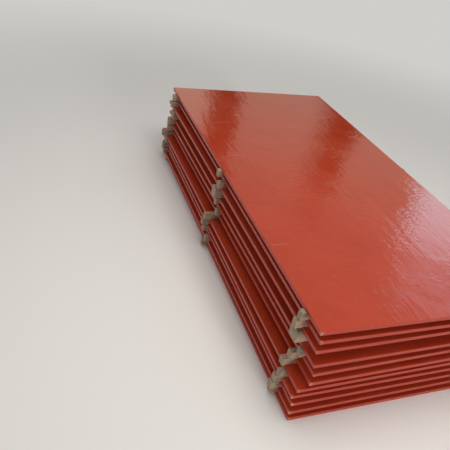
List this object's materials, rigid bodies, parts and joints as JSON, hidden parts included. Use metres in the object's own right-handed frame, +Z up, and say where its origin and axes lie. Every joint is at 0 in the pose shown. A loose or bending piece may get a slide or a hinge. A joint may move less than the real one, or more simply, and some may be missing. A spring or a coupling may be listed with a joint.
{
  "type": "stack of plywood sheets",
  "caption": "Stack of red painted formwork plywood sheets, laid loosely one above another and held apart by sawn battens across their width.",
  "frame": {"origin": "on the floor, in the middle of the footprint of the whole stack", "axes": "+Y along the length of the sheets, away from the front edge that the picture shows; +X along their width, to the right; +Z up"},
  "size_m": [1.3564, 2.4698, 0.528],
  "materials": {
    "red_paint": "plywood sealed all over with glossy red formwork paint",
    "sawn_wood": "bare sawn softwood, greyed and dusty"
  },
  "bodies": {
    "root": {"batten_01_front": "sawn_wood", "batten_01_middle": "sawn_wood", "batten_01_rear": "sawn_wood", "batten_02_front": "sawn_wood", "batten_02_middle": "sawn_wood", "batten_02_rear": "sawn_wood", "batten_03_front": "sawn_wood", "batten_03_middle": "sawn_wood", "batten_03_rear": "sawn_wood", "batten_04_front": "sawn_wood", "batten_04_middle": "sawn_wood", "batten_04_rear": "sawn_wood", "batten_05_front": "sawn_wood", "batten_05_middle": "sawn_wood", "batten_05_rear": "sawn_wood", "batten_06_front": "sawn_wood", "batten_06_middle": "sawn_wood", "batten_06_rear": "sawn_wood", "batten_07_front": "sawn_wood", "batten_07_middle": "sawn_wood", "batten_07_rear": "sawn_wood", "batten_08_front": "sawn_wood", "batten_08_middle": "sawn_wood", "batten_08_rear": "sawn_wood", "batten_09_front": "sawn_wood", "batten_09_middle": "sawn_wood", "batten_09_rear": "sawn_wood", "batten_10_front": "sawn_wood", "batten_10_middle": "sawn_wood", "batten_10_rear": "sawn_wood", "sheet_01": "red_paint", "sheet_02": "red_paint", "sheet_03": "red_paint", "sheet_04": "red_paint", "sheet_05": "red_paint", "sheet_06": "red_paint", "sheet_07": "red_paint", "sheet_08": "red_paint", "sheet_09": "red_paint", "sheet_10": "red_paint", "sheet_11": "red_paint"}
  },
  "joints": []
}
